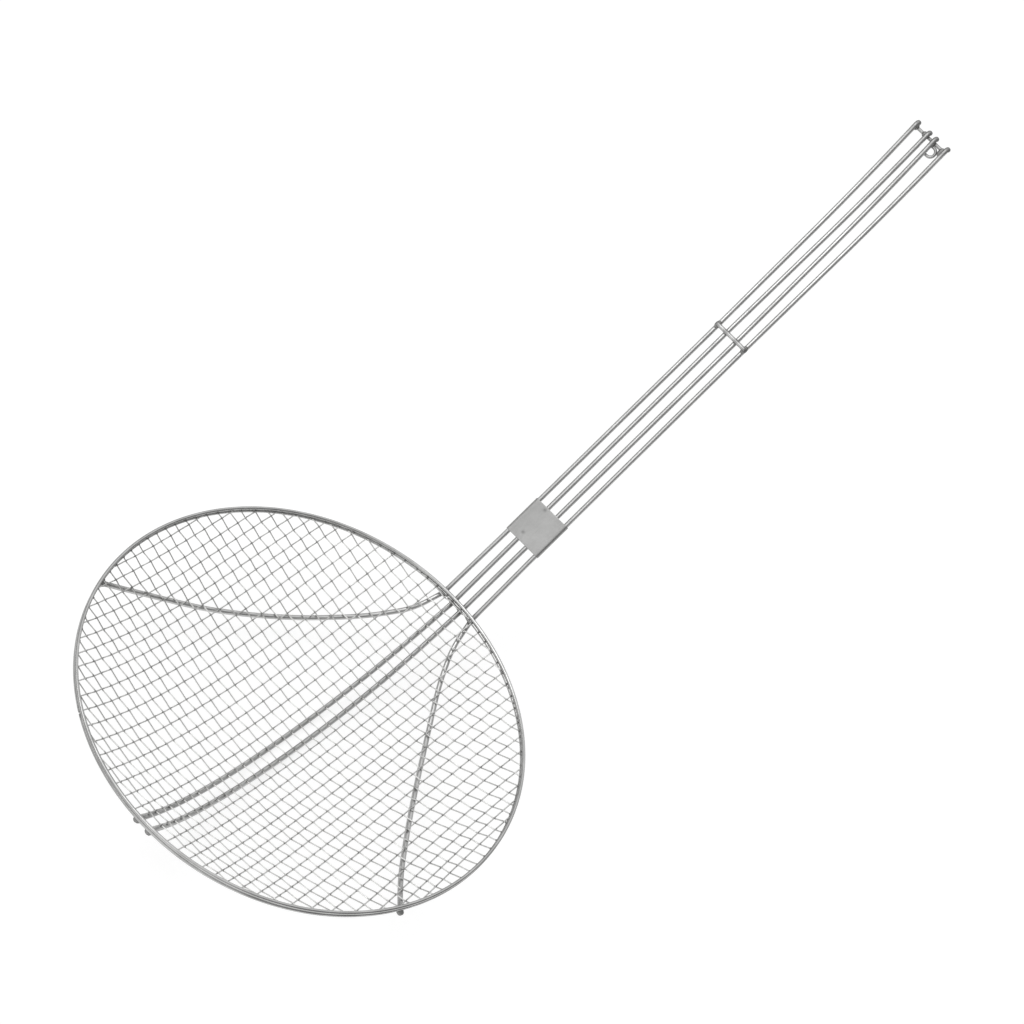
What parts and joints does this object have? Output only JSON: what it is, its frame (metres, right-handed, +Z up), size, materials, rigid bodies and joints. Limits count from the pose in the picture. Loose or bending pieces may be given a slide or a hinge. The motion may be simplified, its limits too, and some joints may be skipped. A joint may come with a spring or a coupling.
{
  "type": "spider skimmer",
  "caption": "Round dished wire-mesh skimmer with a wire rim, welded wire ribs and a long wire handle with a folded plate, crossbars and a hanging loop.",
  "frame": {"origin": "centre of the bowl's rim, midway between its two rings", "axes": "+Z up, square to the level rim and out of the bowl's open side; +Y from the rim's centre towards the handle; +X to the right of a person looking along +Y"},
  "size_m": [0.3048, 0.6176, 0.3808],
  "materials": {
    "rim_wire": "bright nickel plating",
    "mesh_wire": "bright nickel plating",
    "frame_wire": "bright nickel plating",
    "plate_sheet": "satin, bare"
  },
  "bodies": {
    "root": {"rim_upper_ring": "rim_wire", "rim_lower_ring": "rim_wire", "mesh_wires_along": "mesh_wire", "mesh_wires_across": "mesh_wire", "outer_wire_left": "frame_wire", "inner_wire_left": "frame_wire", "inner_wire_right": "frame_wire", "outer_wire_right": "frame_wire", "handle_plate": "plate_sheet", "handle_crossbar": "frame_wire", "handle_end_bar": "frame_wire", "hanging_loop": "frame_wire"}
  },
  "joints": []
}
